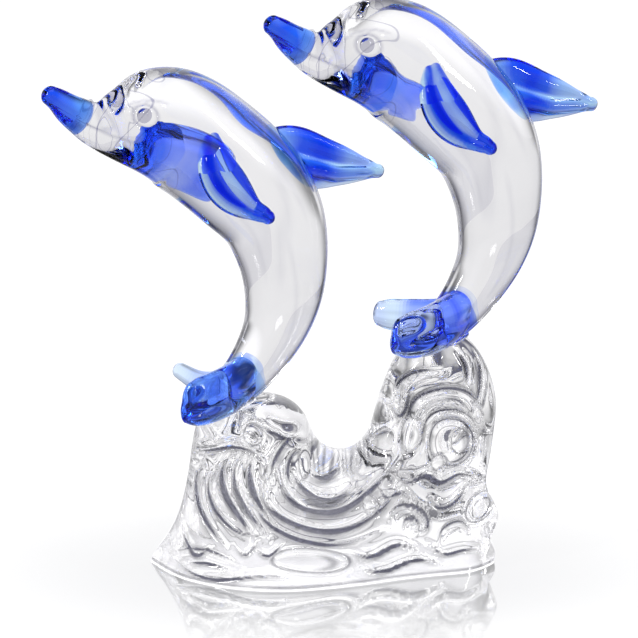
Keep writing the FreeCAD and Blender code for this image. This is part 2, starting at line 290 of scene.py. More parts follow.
def carve_head(shape):
    """Crease above the beak, mouth line and a little waviness of the drawn glass."""
    points = shape.points
    normals = shape.normals()
    x, y, z = points.T
    push = 0.16 * wobble(points, 0.016, 3) + 0.03 * wobble(points, 0.05, 5)
    # crease where the melon rises from the beak: a soft groove round the top and sides
    rear = (x + 37.0) * 0.93 + (z - 121.5) * 0.36
    above = smoothstep(112.0, 121.0, z)
    push += (0.30 * peak(rear, 3.6, 2.0) - 0.55 * peak(rear, 0, 1.7)) * above
    # mouth: from the beak's tip back along each side and up towards the cheek
    mouth_z = np.interp(x, [-53, -47, -42, -37, -32, -29], [126.4, 122.6, 119.3, 116.6, 115.0, 115.6])
    along = smoothstep(-29.0, -33.0, x) * smoothstep(0.3, 1.5, np.abs(y))
    push -= 0.28 * peak(z, mouth_z, 0.55) * along
    # a ring pressed round each eye, and the soft hollow behind the cheek
    ring = peak(np.hypot(x - EYE_X, z - EYE_Z), 2.75, 0.42)
    push -= 0.5 * ring + 0.35 * peak(x, -22.5, 4.0) * peak(z, 109.0, 5.0)
    shape.points = points + normals * push[:, None]
    # painted shade: the eye's ring, the crease, the mouth and the lid over the eye are painted grey
    lid_z = np.interp(x, [-36, -31, -27, -22], [121.0, 124.8, 125.4, 124.2])
    lid = peak(z, lid_z, 0.35) * smoothstep(-35.5, -33.5, x) * smoothstep(-22.5, -25.0, x)
    shape.deep = np.maximum.reduce([0.75 * ring, 0.55 * lid, 0.5 * peak(rear, 0, 0.7) * above,
                                    0.6 * peak(z, mouth_z, 0.45) * along])
    # painted shade: wandering hair lines in the head's glass
    shape.level = 0.5 + 1.6 * smoothstep(-18.0, -26.0, x) * wobble(points, 0.05, 31)
    # the thin snout hardly bends the view, so the blue behind it doesn't flood it
    shape.calm = 0.80 * smoothstep(-20.0, -36.0, x)
    return shape


def beak_and_body():
    tip_count, body_count = 46, 250
    end = SPINE_AT[-1]
    at, centres, up, side, back, belly = spine_rows(0.0, BLUE_END - SEAM_GAP, tip_count)
    wide = 0.5 * (back + belly) * (1.04 - 0.03 * at / BLUE_END)
    beak = tube(centres, up, side, oval(back, belly, wide), 2.1, 1.6, seams=("last",))
    at, centres, up, side, back, belly = spine_rows(BLUE_END, end, body_count)
    wide = 0.5 * (back + belly) * np.interp(at, [BLUE_END, 30, 60, end], [1.01, 0.95, 0.92, 0.90])
    body = tube(centres, up, side, oval(back, belly, wide, lines=0.005), -1.6, 4.0,
                around=128, seams=("first",))
    beak, body = carve_head(beak), carve_head(body)
    beak.calm[:] = 0.0
    # painted shade: a few long faint grey streaks down the body's sides, between two rows of points
    for turn, sway, first, last in ((4.05, 0.10, 95, 190), (5.25, 0.14, 70, 160),
                                    (4.75, 0.16, 150, 245), (1.20, 0.12, 90, 200),
                                    (2.10, 0.12, 60, 150)):
        away = body.turn - turn - sway * np.sin(body.row / 26 + turn)
        span = smoothstep(first, first + 20, body.row) * smoothstep(last, last - 20, body.row)
        body.deep = np.maximum(body.deep, 0.22 * span * peak(away, 0, 0.06))
    return beak, body


def blade(rows, hints, samples, around, first_cap, last_cap, skew=0.0, press=0.0, square=True):
    """Flat gather along (x, y, z, half chord, half thickness), its chord near the hint.

    A square blade's sections stand square to its run; otherwise the chord is the hint itself.
    """
    rows = np.asarray(rows, float)
    at = lengths(rows[:, :3])
    places = np.linspace(0, at[-1], samples)
    fine = cubic(at, rows, places)
    centres = fine[:, :3]
    forward = normalised(np.gradient(centres, axis=0))
    hints = np.asarray(hints, float)
    hints = np.tile(hints, (samples, 1)) if hints.ndim == 1 else cubic(at, hints, places)
    flat = normalised(np.cross(hints, forward))
    chord = normalised(np.cross(forward, flat)) if square else normalised(hints)
    half_chord, half_thick = np.maximum(fine[:, 3], 0.2), np.maximum(fine[:, 4], 0.2)

    def section(index, angles):
        c, s = np.cos(angles), np.sin(angles)
        thick = half_thick[index] * (1 + skew * c)
        dish = 1 - press * peak(c, 0, 0.42)
        return c * half_chord[index], s * thick * dish

    shape = tube(centres, chord, flat, section, first_cap, last_cap, around=around, cap_rings=10)
    # how far along the run, and which side of the chord, each point is: used by the colouring
    offsets = shape.points[:, None, :] - centres[None, ::4, :]
    nearest = np.argmin((offsets ** 2).sum(2), axis=1) * 4
    shape.run = places[nearest] / at[-1]
    shape.across = np.einsum("ij,ij->i", shape.points - centres[nearest], chord[nearest])
    shape.across /= half_chord[nearest]
    return shape


DORSAL = [
    (9.4, 0, 105, 9.6, 4.4), (13.8, 0, 106, 9.6, 3.9),
    (19.6, 0, 105.7, 8.6, 3.2), (24.4, 0, 104.4, 6.6, 2.6),
    (29.4, 0, 103, 4.7, 2.2), (33.8, 0, 101.9, 3, 1.95),
    (36, 0, 101.5, 2.3, 1.9), (37.6, 0, 101, 1.9, 1.7),
]
DORSAL_CHORD = [(0.62, 0, -0.78), (0.46, 0, -0.89), (0.30, 0, -0.95), (0.16, 0, -0.99),
                (0, 0, -1), (-0.05, 0, -1), (0.02, 0, -1), (0.05, 0, -1)]
PECTORAL = [
    (-12.4, -9.6, 114.8, 2.2, 1.4), (-12.6, -11.8, 113, 3.2, 1.9),
    (-12.2, -13.8, 109.8, 4.5, 2.1), (-11, -15.9, 105.6, 5.5, 2.1),
    (-8.8, -17.8, 102, 5.3, 2), (-6, -19.6, 99.2, 3.9, 1.9),
    (-3.8, -21, 97.7, 2.6, 2), (-2.3, -22, 96.9, 2.15, 2.1),
    (-1.6, -22.5, 96.4, 1.8, 1.8),
]
FAR_PECTORAL = [
    (-22.5, 8.6, 113.6, 2.6, 2), (-20.4, 12, 111.4, 4.6, 2.3),
    (-16, 14.8, 108.6, 6, 2.4), (-9.6, 16.8, 104.2, 6.8, 2.3),
    (-3, 18.2, 98.8, 6.2, 2.1), (2.2, 19, 93.4, 4.4, 1.9),
    (5, 19.4, 89.8, 2.6, 1.9), (6.4, 19.6, 87.8, 1.9, 1.7),
]
NEAR_LOBE = [
    (1.5, -0.6, 51.4, 5.4, 4.4), (-3.4, -4.4, 49.4, 6.4, 4.9),
    (-9, -8.4, 48.4, 6.9, 4.6), (-14.4, -11.6, 48.2, 6.8, 3.9),
    (-18.2, -13.6, 48.4, 6.3, 3.1), (-20, -14.5, 48.6, 5.6, 2.4),
]
FAR_LOBE = [
    (1.5, 0.6, 49, 4.6, 4.2), (-2.2, 4.2, 47, 4.4, 3.8),
    (-5.6, 7.8, 46.2, 3.6, 3.2), (-8.6, 10.8, 46.8, 2.8, 2.6),
    (-11, 13, 48.2, 2.3, 2.2), (-12.2, 14, 49, 2.1, 2),
]
# The right dolphin's lobes were pulled out fuller and longer than the left one's.
FULL_FAR_LOBE = [
    (1.5, 0.6, 48.6, 4.8, 4.2), (-3, 4.4, 47.6, 4.6, 3.6),
    (-7.6, 8.2, 47.2, 4.4, 3.2), (-11.2, 11.2, 47, 4.2, 2.8),
    (-13.6, 13.2, 47, 3.9, 2.6), (-15, 14.3, 47.1, 3.3, 2.2),
]
FULL_NEAR_LOBE = NEAR_LOBE[:2] + [
    (-9.4, -8.6, 48.4, 6.9, 4.4), (-15.6, -12.2, 48.3, 6.6, 3.6),
    (-20.6, -14.6, 48.6, 5.9, 2.9), (-23, -15.7, 48.9, 5, 2.3),
]


def bead(centre, around=48, rows=30):
    """Small glass dot, flattened across the head."""
    theta = np.linspace(0, math.pi, rows + 1)[1:-1]
    phi = np.linspace(0, 2 * math.pi, around, endpoint=False)
    points = [(EYE_RADIUS * math.sin(t) * math.cos(p), EYE_HEIGHT * math.cos(t),
               EYE_RADIUS * math.sin(t) * math.sin(p)) for t in theta for p in phi]
    points += [(0, EYE_HEIGHT, 0), (0, -EYE_HEIGHT, 0)]
    faces = ring_faces(len(theta), around) + fans(len(theta), around)
    return Shape(np.array(points) + np.array(centre), faces).turned_out()


def soften(shape, amount, scale, seed):
    shape.points = shape.points + shape.normals() * (amount * wobble(shape.points, scale, seed))[:, None]
    return shape


def dorsal_shape():
    shape = blade(DORSAL, DORSAL_CHORD, 150, 104, 2.0, 1.8, skew=-0.25, square=False)
    x, y, z = shape.points.T
    # a pinched ridge runs from the root's middle to the tip, with hollows above and below it
    ridge = np.interp(x, [10, 18, 26, 34, 38], [106.0, 103.5, 101.2, 100.8, 101.0])
    offset = (z - ridge) / np.interp(x, [10, 30, 38], [3.4, 2.0, 1.2])
    side = np.sign(y) * smoothstep(0.2, 1.2, np.abs(y)) * smoothstep(37.5, 33.0, x)
    profile = 0.75 * peak(offset, 0, 0.5) - 0.8 * peak(offset, 1.3, 0.8) \
        - 0.55 * peak(offset, -1.2, 0.8)
    shape.points[:, 1] += side * profile
    return soften(shape, 0.12, 0.04, 11)


def fin_shapes():
    """Dorsal and pectoral fins; deep is painted along the run and across the chord."""
    dorsal = dorsal_shape()
    run, across = dorsal.run, dorsal.across
    ridge = np.interp(run, [0.0, 0.3, 0.65, 1.0], [-0.05, 0.05, 0.10, 0.0])
    # the pale line along the ridge is a painted highlight
    dorsal.deep = 0.30 + 0.90 * peak(run, 0.36, 0.22) * smoothstep(0.75, 0.35, across) \
        - 0.85 * peak(across, ridge, 0.10) - 0.28 * smoothstep(0.20, 0.05, run) \
        - 0.15 * smoothstep(0.85, 1.0, run) + 0.35 * peak(across, ridge + 0.45, 0.16)
    near = blade(PECTORAL, (0.8, 0.1, 0.6), 110, 72, 1.0, 1.9, press=0.42)
    near = soften(near, 0.06, 0.05, 12)
    near.deep = 0.40 + 0.75 * peak(near.across, -0.30, 0.26) \
        - 1.2 * smoothstep(-0.62, -0.80, near.across) + 0.5 * smoothstep(0.35, 0.8, near.across) \
        + 1.2 * smoothstep(0.84, 0.92, near.run)
    far = blade(FAR_PECTORAL, (0.62, 0.1, 0.78), 110, 72, 1.4, 1.5, press=0.3)
    far = soften(far, 0.06, 0.05, 13)
    far.deep = 0.66 + 0.36 * np.sin(far.run * 9.0 + 0.6) * np.cos(far.across * 2.0) + 0.2 * far.across
    return dorsal, near, far


def fluke_shapes(full):
    """Near and far tail lobes, in the left dolphin's form or in the right one's fuller form."""
    near = blade(FULL_NEAR_LOBE if full else NEAR_LOBE, (0.25, 0, 0.97), 120, 88, 2.5, 2.2, press=0.16)
    near = soften(near, 0.30, 0.035, 14)
    far = blade(FULL_FAR_LOBE if full else FAR_LOBE, (0.35, 0, 0.94), 96, 80, 2.5, 1.9, press=0.12)
    far = soften(far, 0.2, 0.04, 15)
    run, across = near.run, near.across
    if full:
        # a clear outer end, a deep core, and a deep stripe where the lobe meets the tail
        core = peak(run, 0.50, 0.17) * peak(across, -0.15, 0.55)
        near.deep = 0.04 + core + 0.7 * peak(run, 0.10, 0.06)
        near.deep += 0.35 * smoothstep(-0.6, -0.9, across)
        far.deep = 0.55 - 0.45 * smoothstep(0.60, 0.85, far.run) \
            + 0.35 * smoothstep(0.45, 0.75, far.across) * smoothstep(0.75, 0.55, far.run)
    else:
        # deep blue in the scoop, a pale line round it and a pale band that runs into the tail
        over = across - np.interp(run, [0.05, 0.25, 0.5, 0.75, 0.95], [0.9, 0.1, -0.35, -0.75, -1.1])
        near.deep = 0.15 + 0.62 * smoothstep(-0.05, 0.10, over) - 0.50 * peak(over, -0.02, 0.07)
        near.deep += 0.55 * peak(run, 0.22, 0.09) * peak(across, -0.35, 0.30)
        near.deep -= 0.35 * peak(run, 0.93, 0.05) * smoothstep(-0.6, 0.4, across)
        far.deep = 0.40 - 0.35 * smoothstep(0.70, 1.0, far.run) - 0.25 * smoothstep(0.5, 0.2, far.run)
    return near, far


def dolphin_shapes(full):
    beak, body = beak_and_body()
    beak.deep = 0.62 - 0.45 * smoothstep(-46.0, -43.0, beak.points[:, 0]) \
        + 0.25 * smoothstep(2.0, -2.0, beak.points[:, 1])
    dorsal, pectoral_near, pectoral_far = fin_shapes()
    fluke_near, fluke_far = fluke_shapes(full)
    return {
        "body": body,
        "beak_tip": beak,
        "dorsal_fin": dorsal,
        "pectoral_near": pectoral_near,
        "pectoral_far": pectoral_far,
        "fluke_near": fluke_near,
        "fluke_far": fluke_far,
        "eye_near": bead((EYE_X, -EYE_Y, EYE_Z)),
        "eye_far": bead((EYE_X, EYE_Y, EYE_Z)),
    }


# ---------------- the wave
OUTLINE = np.array([
    (-45.4, 0), (-44.6, 1.6), (-42, 5.4), (-38.6, 11.6), (-36.2, 19.5), (-34.8, 28), (-33.7, 35),
    (-31.4, 40.4), (-25, 42.9), (-18, 44.6), (-12, 43.9), (-7.6, 41.8), (-4.2, 37.6),
    (-1.4, 31.8), (4.5, 29), (9.8, 32.4), (13, 40.5), (15.8, 49.5), (20, 57),
    (27, 61.4), (33.8, 61.8), (38.6, 58.2), (42.5, 51.4), (44.4, 43.5), (43.9, 34.5),
    (42.8, 26.5), (42.3, 20.5), (44.3, 15.8), (45.3, 11), (43.2, 6.4), (44.8, 2.6), (44.6, 0),
])
# Half depths of the wave along X, at the foot and at the level of the crests.
FRONT_FOOT = ([-46, -43, -38, -30, -22, -15, 2, 11, 21, 30, 40, 46],
              [2, 7, 13, 19.2, 22.8, 24.3, 22.2, 19, 14.6, 11.6, 8.2, 4.5])
BACK_FOOT = ([-46, -40, -30, -15, 10, 30, 40, 46], [5, 13, 19, 22.5, 21, 18, 13.5, 8])
FRONT_CREST = ([-46, -36, -26, -12, 4, 20, 34, 46], [2, 9, 12, 12.5, 11, 10, 9, 4.5])
BACK_CREST = ([-46, -32, -15, 10, 34, 46], [4, 10.5, 12.5, 12, 10.5, 5.5])
CREST_LEVEL = 66.0
ROUND = 9.0                # how far in from the outline the faces reach their full depth


def dome(x, z, cx, cz, rx, rz):
    r2 = ((x - cx) / rx) ** 2 + ((z - cz) / rz) ** 2
    return np.sqrt(np.clip(1 - r2, 0, 1)), np.sqrt(r2)


def along_leg(x, z, start, end):
    """How far along one straight leg each point lies (0 to 1), and its distance from the leg."""
    d = end - start
    t = np.clip(((x - start[0]) * d[0] + (z - start[1]) * d[1]) / (d @ d), 0, 1)
    return t, np.hypot(x - start[0] - t * d[0], z - start[1] - t * d[1])


def stroke(x, z, run, width, height, lean=1.0):
    """One rolled fold along a run of points: a hump on its left side and a sharp valley, with painted
    shade in the valley.
    """
    run = np.asarray(run, float)
    at = lengths(run)
    fine = cubic(at, run, np.linspace(0, at[-1], 8 * len(run)))
    best = np.full(x.shape, 1e9)
    signed = np.zeros(x.shape)
    share = np.zeros(x.shape)
    for i, (p, q) in enumerate(zip(fine[:-1], fine[1:])):
        t, away = along_leg(x, z, p, q)
        closer = away < best
        side = np.sign((q - p)[0] * (z - p[1]) - (q - p)[1] * (x - p[0]))
        best = np.where(closer, away, best)
        signed = np.where(closer, away * side, signed)
        share = np.where(closer, (i + t) / (len(fine) - 1), share)
    taper = np.sin(np.clip(share, 0.02, 0.98) * math.pi) ** 0.5
    s = signed * lean / width
    fold = peak(s, 0.85, 0.62) - 0.95 * peak(s, 0, 0.30)
    reach = width * 2.5
    rise = height * taper * fold * smoothstep(reach, reach * 0.5, best)
    # painted shade in the valley and beside it, away from the hump
    return rise, taper ** 2 * (peak(s, -0.08, 0.24) + 0.45 * peak(s, -0.60, 0.42))


# Rolled folds drawn on the front of the wave: run of (x, z), width, height, and -1 where the
# right side of the run rises instead of the left.
FRONT_FOLDS = [
    # the curl in the middle and the crescents nested under it
    ([(-4.1, 35.6), (-8.1, 37.4), (-11.6, 35.8), (-13.9, 32.5), (-14.6, 28.5)], 1.9, 1.5, -1),
    ([(-4.6, 33.9), (-7.4, 34.3), (-9.6, 32.6), (-10.2, 29.5), (-9, 26.4)], 1.5, 1.3, -1),
    ([(-8.8, 29.8), (-7.3, 26.7), (-5.6, 24.9), (-1.3, 22.4), (4.5, 22.2), (9, 24.2)], 1.7, 1.7),
    ([(-12.4, 30.3), (-11.6, 26.5), (-9.8, 23.3), (-6.1, 20.5), (-1.3, 19.2), (5.2, 19.2), (12, 22.6),
      (17.1, 27.7), (19.6, 32.4)], 2.3, 2.1),
    ([(-15.6, 28.2), (-15.6, 23.9), (-13.1, 19.5), (-8.1, 16.2), (-1, 14.1), (7, 14.1), (13.5, 16.9),
      (18.6, 21.3), (21.6, 25.7)], 2.2, 1.9),
    ([(-18.6, 22.6), (-15.6, 17.5), (-9.8, 13.1), (-2.3, 10.8), (6.5, 10.5), (15.3, 12.8)], 1.8, 1.5),
    ([(-4.1, 28.2), (-1.6, 26.7), (2.7, 26.7), (6.5, 28.6)], 1.3, 1.2),
    ([(0.5, 31.5), (4.5, 29.8), (9, 30.6), (12, 34)], 1.3, 0.8),
    # the stream of folds falling down the left side
    ([(-24.2, 35.1), (-25.7, 30.4), (-25.2, 25.3), (-22.7, 20.1), (-19.7, 15), (-17.8, 10.8)], 1.9, 1.9),
    ([(-21.7, 35.6), (-22.9, 30.9), (-22.2, 25.8), (-19.7, 20.6), (-16.6, 15.7), (-13.8, 11.4)], 1, 1),
    ([(-18.6, 35), (-19.4, 30.9), (-18.6, 26.5), (-16.6, 21.9), (-13.6, 17)], 1.5, 1.6),
    ([(-27.6, 31), (-29, 26.6), (-28.4, 21.6), (-24.8, 16.2), (-19.6, 12.8), (-14, 12.6)], 1.1, 1),
    ([(-31.2, 30.4), (-32.2, 24.7), (-31.2, 18.8), (-28.2, 13.7), (-24.5, 9)], 1.9, 1.7),
    ([(-32.6, 33), (-27.4, 35.8), (-23.2, 36.8), (-19.1, 35.8), (-15.6, 33.4)], 1.5, 1.4),
    ([(-22.6, 10.6), (-19.8, 8), (-16, 11.4)], 1, 1),
    ([(-17, 9.2), (-13.8, 7.2), (-10, 9.8)], 1, 0.9),
    # the block under the left tail
    ([(-16, 41.5), (-12.6, 39.6), (-9.4, 38), (-6.6, 34.8)], 1.6, 1.1),
    # arcs over the bubble boss, and the folds that fall from the right crest
    ([(19.6, 32), (20.1, 38.7), (22.6, 44.4), (27.1, 48), (32.9, 49.1), (37.9, 46.5),
      (41.2, 41.3)], 2, 1.7, -1),
    ([(24.1, 32.2), (24.6, 36.9), (26.6, 40.8), (30.4, 43.1), (34.6, 43.4), (38.2, 41.3),
      (40.2, 37.2)], 1.1, 0.7, -1),
    ([(17.8, 46.5), (20.3, 50.4), (24.1, 53.4), (29.1, 54.6)], 1.8, 1.2, -1),
    ([(15.6, 43), (18.4, 41.4), (20.4, 44), (22, 47.6)], 1.2, 1),
    ([(36.7, 58.9), (39, 53.7), (39.8, 47.8), (39.2, 42.6)], 1.3, 1.2),
    ([(33, 58.6), (35.6, 54.2), (36.4, 49.6)], 1.2, 1),
    # small wavelets at the right foot
    ([(19.1, 28.4), (22.8, 26.3), (27.1, 27.4), (30.4, 25.3), (34.6, 26.3), (38.4, 24.4)], 1.3, 1.2),
    ([(17.1, 15.9), (20.3, 19.3), (24.1, 19.8), (27.1, 17.2), (26.6, 13.3), (23.6, 11.8)], 1.5, 1.4, -1),
    ([(20.6, 13.6), (22.6, 16.2), (24.6, 15.6), (24, 13.6)], 1, 1, -1),
    ([(29.1, 9.4), (31.6, 13.3), (35.4, 14.2), (37.6, 11)], 1.3, 1.2, -1),
    ([(15, 24.6), (18.6, 22.6), (21.4, 23.6), (23.6, 21.8)], 1.1, 1),
    ([(28.6, 21.6), (31.4, 19), (34.6, 20), (36.4, 22.4)], 1.2, 1.1),
    ([(26, 8.4), (30, 5.6), (35, 6.2), (40, 4.6)], 1.3, 1.1),
    ([(6, 8.6), (12, 6.6), (18, 8.4), (22.6, 6.4)], 1.4, 1.1),
    ([(9, 4.2), (15, 2.6), (22, 4), (28, 2.6)], 1.2, 1),
    ([(-37, 12), (-33.6, 7.6), (-29, 9.4)], 1.3, 1),
    ([(-39, 6.2), (-33, 8.6), (-27, 8), (-20.5, 5.6)], 1.3, 1, -1),
    ([(-36, 4.6), (-30, 5.6), (-24, 4.2)], 1, 0.8),
    ([(-40.5, 5), (-35, 2.6), (-27, 1.9), (-18, 2.6), (-10, 1.8)], 1.1, 0.9),
    ([(30.4, 46), (34, 46.4), (36.8, 43.6)], 1, 1.1, -1),
    ([(10.4, 33), (12.8, 36.6), (15, 38), (17, 35.2)], 1.2, 1.1),
]
BACK_FOLDS = [
    ([(-6, 36), (-12, 38), (-18, 34), (-20, 27), (-16, 20), (-8, 18), (-3, 22)], 2.2, 1.8, -1),
    ([(-9, 32), (-13.6, 32.4), (-15.6, 28), (-13, 24.2), (-9, 24.6)], 1.6, 1.4, -1),
    ([(-30, 32), (-27, 24), (-22, 16), (-14, 11), (-4, 10), (6, 13)], 2.2, 1.7, -1),
    ([(-34, 24), (-31, 16), (-25, 9)], 1.8, 1.4, -1),
    ([(16, 30), (17, 40), (22, 47), (30, 49), (37, 45), (40, 37)], 2.2, 1.8, -1),
    ([(21, 30), (22, 37), (26.6, 41.6), (32, 41), (35, 36)], 1.7, 1.5, -1),
    ([(4, 24), (12, 21), (20, 22), (28, 19), (36, 22)], 1.9, 1.5),
    ([(10, 10), (18, 13), (26, 10), (34, 12), (40, 9)], 1.7, 1.4),
]
# Round and oval bosses: x, z, half width, half height, how far they stand out.
FRONT_BOSSES = [(-5.3, 30.6, 1.5, 2.6, 1.1), (-18.4, 39.6, 2.4, 2, 0.9),
                (33, 34.6, 5.9, 5.7, 2.2), (21.6, 37, 2.8, 3.6, 1.3),
                (40, 16.2, 3, 3.3, 1.5), (-3, 6, 9, 2.9, 0.9),
                (12.8, 19.8, 2.2, 2, 0.9), (29.5, 30, 1.8, 1.6, 0.7)]
BACK_BOSSES = [(6, 17, 4.2, 4.2, 1.6), (28, 33, 3.6, 3.6, 1.4), (-24, 38, 2.6, 2.2, 1)]
DRIFT = 1.1                # how far the folds wander from their drawn runs
FOLD_GAIN = 1.4            # how much higher the folds stand than drawn


def relief(x, z, rough, folds, bosses):
    x = x + DRIFT * rough[0]
    z = z + DRIFT * rough[1]
    d = 0.25 * rough[2]
    shade = np.zeros_like(d)
    uneven = 1 + 0.5 * rough[3]
    for run, width, height, *lean in folds:
        rise, dark = stroke(x, z, run, width, FOLD_GAIN * height, *lean)
        d += rise * uneven
        shade = np.maximum(shade, dark * np.clip(0.7 + uneven, 0, 2.0))
    for cx, cz, rx, rz, height in bosses:
        rise, r = dome(x, z, cx, cz, rx, rz)
        groove = 0.16 * math.sqrt(3.0 / min(rx, rz))
        outside = smoothstep(0.85, 1.25, r)
        d = d * outside + height * rise - 0.55 * height * peak(r, 1.12, groove)
        # painted shade: a dark ring in the groove round each boss and a crescent inside it
        crescent_shade = peak(r, 0.66, 0.16) * smoothstep(-0.1 * rx, 0.5 * rx, x - cx)
        shade = np.maximum.reduce([shade * outside, 0.9 * peak(r, 1.08, 0.5 * groove), 0.75 * crescent_shade])
    return d, shade


def front_relief(x, z, rough):
    d, shade = relief(x, z, rough, FRONT_FOLDS, FRONT_BOSSES)
    hollow, _ = dome(x, z, 34.8, 35.4, 3.0, 3.4)
    # the saddle is drawn in fine threads, and the large boss is hollow; the threads are also painted as
    # shade, and a crescent of painted shade lies in the boss
    threads = np.sin(x * 4.1 + 1.3 * np.sin(x * 0.9)) * smoothstep(25.0, 30.0, z)
    threads *= smoothstep(-4.0, 0.0, x) * smoothstep(14.0, 9.0, x)
    crescent_shade = peak(np.hypot((x - 34.2) / 3.4, (z - 35.2) / 4.2), 0.8, 0.28) * smoothstep(33.0, 36.0, x)
    shade = np.maximum.reduce([shade, 0.9 * crescent_shade, 0.5 * threads])
    return d - 1.6 * hollow + 0.10 * threads, shade


def back_relief(x, z, rough):
    return relief(x, z, rough, BACK_FOLDS, BACK_BOSSES)


def table_at(table, x):
    return cubic(table[0], table[1], np.clip(x, table[0][0], table[0][-1]))[:, 0]


def wave_shape(seats):
    """Front and back sheets that meet along the outline, closed by a flat underside."""
    along, deep = 520, 170
    at = lengths(OUTLINE)
    s = np.linspace(0, at[-1], along)
    ridge = cubic(at, OUTLINE, s)
    ridge[:, 1] = np.maximum(ridge[:, 1], 0)
    ridge[0, 1] = ridge[-1, 1] = 0.0
    share = s / at[-1]
    feet = np.interp(share, [0, 0.17, 0.36, 0.50, 0.70, 1.0], [-45.4, -34, -13, 3.0, 24.0, 44.6])
    # each column of points drops from the ridge to its foot, closest together near the ridge
    v = np.linspace(0, 1, deep)
    drop = 1 - np.cos(v * math.pi / 2)
    drop = 0.62 * drop + 0.38 * v * v
    drop /= drop[-1]
    x = ridge[:, 0][:, None] * (1 - drop) + feet[:, None] * drop
    z = ridge[:, 1][:, None] * (1 - drop)
    flat_x, flat_z = x.ravel(), z.ravel()
    inset = np.full(flat_x.shape, 1e9)
    for start, end in zip(ridge[:-1], ridge[1:]):
        inset = np.minimum(inset, along_leg(flat_x, flat_z, start, end)[1])
    edge = np.clip(1 - inset / ROUND, 0, 1)
    swell = np.sqrt(np.clip(1 - edge ** 2.2, 0, 1))
    lift = flat_z / CREST_LEVEL
    spots = np.stack([flat_x, np.zeros_like(flat_x), flat_z], 1)
    rough = [wobble(spots, scale, seed)
             for scale, seed in ((0.04, 21), (0.04, 22), (0.03, 23), (0.045, 26))]
    sheets, shades, levels = [], [], []
    for foot, crest, surface, sign in ((FRONT_FOOT, FRONT_CREST, front_relief, -1),
                                       (BACK_FOOT, BACK_CREST, back_relief, 1)):
        depth = table_at(foot, flat_x) * (1 - lift) + table_at(crest, flat_x) * lift
        bulge, shade = surface(flat_x, flat_z, rough)
        depth = depth + bulge * smoothstep(0.0, 0.8, swell)
        y = sign * np.maximum(depth, 0.5) * swell
        sheets.append(np.stack([flat_x, y, flat_z], 1))
        # painted shade: dark threads hang from the lip of the saddle, a thin dark line runs round the
        # foot, and dark blots lie here and there
        threads = np.sin(flat_x * 4.4 + 2.6 * np.sin(flat_x * 0.9 + 0.5 * flat_z)) + 0.25
        fringe_shade = 0.9 * np.clip(threads, 0, 1) * smoothstep(4.2, 1.2, inset) \
            * smoothstep(-5.5, -3.0, flat_x) * smoothstep(17.0, 13.0, flat_x)
        foot_shade = 0.8 * smoothstep(1.3, 0.7, flat_z) * smoothstep(0.0, 0.4, flat_z)
        blot_shade = 0.40 * smoothstep(0.45, 0.95, rough[0]) * smoothstep(0.2, 0.6, swell)
        shade = shade * smoothstep(0.35, 0.8, swell)
        shades.append(np.maximum.reduce([shade, blot_shade, fringe_shade, foot_shade]))
        levels.append(0.5 + 0.45 * bulge)
    # the crests are ground down to the seat planes where the tails stand
    points = np.stack(sheets)
    for px, pz, low, high in seats:
        level = pz + (points[..., 0] - px) * SEAT_SLOPE
        near = smoothstep(low - 2.0, low, points[..., 0]) * smoothstep(high + 2.0, high, points[..., 0])
        points[..., 2] -= np.maximum(points[..., 2] - level, 0) * near
    index = np.arange(2 * along * deep).reshape(2, along, deep)
    index[1, :, 0] = index[0, :, 0]
    faces = []
    for side in (0, 1):
        for i in range(along - 1):
            for j in range(deep - 1):
                quad = (index[side, i, j], index[side, i + 1, j],
                        index[side, i + 1, j + 1], index[side, i, j + 1])
                faces.append(tuple(dict.fromkeys(quad if side else quad[::-1])))
    # underside: strips between the front and back feet, and a facet at each end
    foot_front, foot_back = index[0, :, -1], index[1, :, -1]
    for i in range(along - 1):
        faces.append((foot_front[i], foot_front[i + 1], foot_back[i + 1], foot_back[i]))
    for i, flip in ((0, False), (along - 1, True)):
        loop = list(index[0, i, ::-1]) + list(index[1, i, 1:])
        faces.append(tuple(loop if flip else reversed(loop)))
    # the back sheet's own ridge points are left out: it shares the front sheet's
    used = sorted({i for face in faces for i in face})
    renamed = {old: new for new, old in enumerate(used)}
    faces = [tuple(renamed[i] for i in face) for face in faces]
    shape = Shape(points.reshape(-1, 3)[used], faces)
    shape.deep = np.concatenate(shades)[used]
    shape.level = np.concatenate(levels)[used]
    return shape


def film_shape(centre, radius, thick, around=72):
    """Disc of adhesive squeezed out to a round rim."""
    inner = (0.35, 0.7)
    profile = [(share * radius, thick) for share in inner] + [(0.93 * radius, thick * 0.96)]
    profile += [(radius + 0.5 * thick * math.cos(a), thick * 0.5 + 0.5 * thick * math.sin(a))
                for a in np.linspace(math.pi / 2, -math.pi / 2, 9)]
    profile += [(0.93 * radius, thick * 0.04)] + [(share * radius, 0.0) for share in inner[::-1]]
    phi = np.linspace(0, 2 * math.pi, around, endpoint=False)
    rings = []
    for r, height in profile:
        wavy = r * (1 + 0.05 * np.sin(3 * phi + 0.6) + 0.03 * np.sin(5 * phi))
        x = wavy * np.cos(phi) * 1.1
        rings.append(np.stack([x, wavy * np.sin(phi), height + x * SEAT_SLOPE], 1))
    points = np.vstack(rings + [(0, 0, thick), (0, 0, 0.0)]) + np.array(centre)
    return Shape(points, ring_faces(len(profile), around) + fans(len(profile), around)).turned_out()


def mark_seams(shape, others):
    """Depth of each point inside the pieces it is fused to; negative outside them."""
    for other in others:
        tree = other.tree()
        low, high = other.points.min(0) - 1.0, other.points.max(0) + 1.0
        near = np.where(((shape.points > low) & (shape.points < high)).all(1))[0]
        for i in near:
            p = Vector(shape.points[i])
            hit, normal, _, distance = tree.find_nearest(p)
            if hit is None:
                continue
            depth = distance if (p - hit).dot(normal) < 0 else -distance
            shape.depth[i] = max(shape.depth[i], depth)


